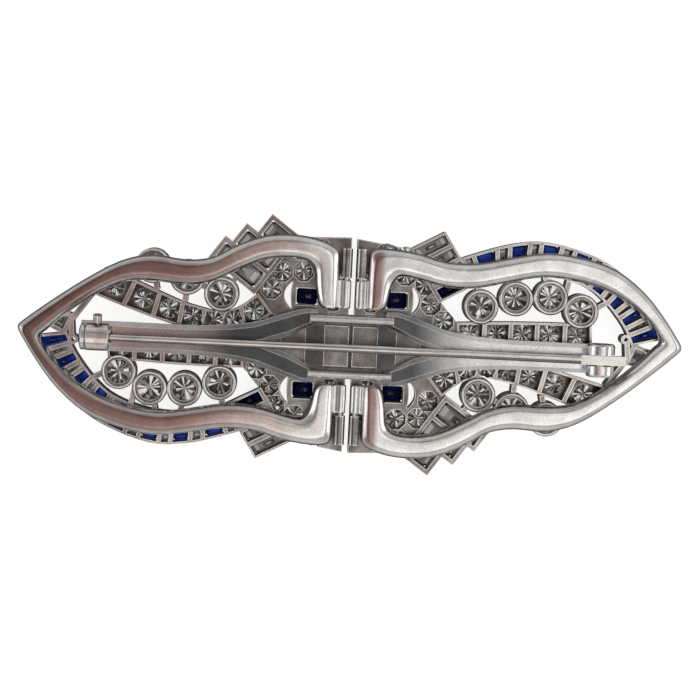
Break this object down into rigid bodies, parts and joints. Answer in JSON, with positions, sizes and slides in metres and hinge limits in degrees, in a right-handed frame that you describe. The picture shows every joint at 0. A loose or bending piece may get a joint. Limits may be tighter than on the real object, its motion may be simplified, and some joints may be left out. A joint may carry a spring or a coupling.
{
  "type": "double clip brooch",
  "caption": "Pierced brooch of two mirrored leaf-shaped clips with hinged loop backs, carried on a central frame with a long pin and a turning catch.",
  "frame": {"origin": "middle of the brooch on the plane that its jewelled front rests on", "axes": "+X along the brooch towards the pin's joint, +Y across it, +Z from the front to the pin"},
  "size_m": [0.0684, 0.0264, 0.0082],
  "materials": {
    "platinum": "polished, worn",
    "pin_metal": "satin",
    "diamond": "polished",
    "sapphire": "polished"
  },
  "bodies": {
    "frame": {"frame": "platinum", "rivet": "pin_metal"},
    "pin": {"pin": "pin_metal"},
    "catch_sleeve": {"catch_sleeve": "platinum"},
    "clip_left": {"front_left": "platinum", "hinge_pin_left_1": "pin_metal", "hinge_pin_left_2": "pin_metal", "stone_left_1": "diamond", "stone_left_2": "diamond", "stone_left_3": "diamond", "stone_left_4": "diamond", "stone_left_5": "diamond", "stone_left_6": "diamond", "stone_left_7": "diamond", "tip_stone_left": "diamond", "rim_sapphires_left": "sapphire", "rim_baguettes_left": "diamond", "ribbon_diamonds_left": "diamond", "step_baguettes_left": "diamond", "block_baguettes_left": "diamond", "centre_sapphires_left": "sapphire", "centre_diamonds_left": "diamond"},
    "clip_right": {"front_right": "platinum", "hinge_pin_right_1": "pin_metal", "hinge_pin_right_2": "pin_metal", "stone_right_1": "diamond", "stone_right_2": "diamond", "stone_right_3": "diamond", "stone_right_4": "diamond", "stone_right_5": "diamond", "stone_right_6": "diamond", "stone_right_7": "diamond", "tip_stone_right": "diamond", "rim_sapphires_right": "sapphire", "rim_baguettes_right": "diamond", "ribbon_diamonds_right": "diamond", "step_baguettes_right": "diamond", "block_baguettes_right": "diamond", "centre_sapphires_right": "sapphire", "centre_diamonds_right": "diamond"},
    "back_left": {"loop_left": "platinum"},
    "back_right": {"loop_right": "platinum"}
  },
  "joints": [
    {"name": "slide_left", "type": "slide", "parent": "frame", "child": "clip_left", "axis": [-1, 0, 0], "range_m": [0, 0.036]},
    {"name": "slide_right", "type": "slide", "parent": "frame", "child": "clip_right", "axis": [1, 0, 0], "range_m": [0, 0.036]},
    {"name": "loop_left_hinge", "type": "hinge", "parent": "clip_left", "child": "back_left", "pos_m": [-0.00075, 0, 0.0043], "axis": [0, 1, 0], "range_deg": [0, 75]},
    {"name": "loop_right_hinge", "type": "hinge", "parent": "clip_right", "child": "back_right", "pos_m": [0.00075, 0, 0.0043], "axis": [0, -1, 0], "range_deg": [0, 75]},
    {"name": "pin_hinge", "type": "hinge", "parent": "frame", "child": "pin", "pos_m": [0.0255, 0, 0.00675], "axis": [0, 1, 0], "range_deg": [0, 80]},
    {"name": "catch_turn", "type": "hinge", "parent": "frame", "child": "catch_sleeve", "pos_m": [-0.0258, 0, 0.00675], "axis": [1, 0, 0], "range_deg": [0, 125]}
  ]
}
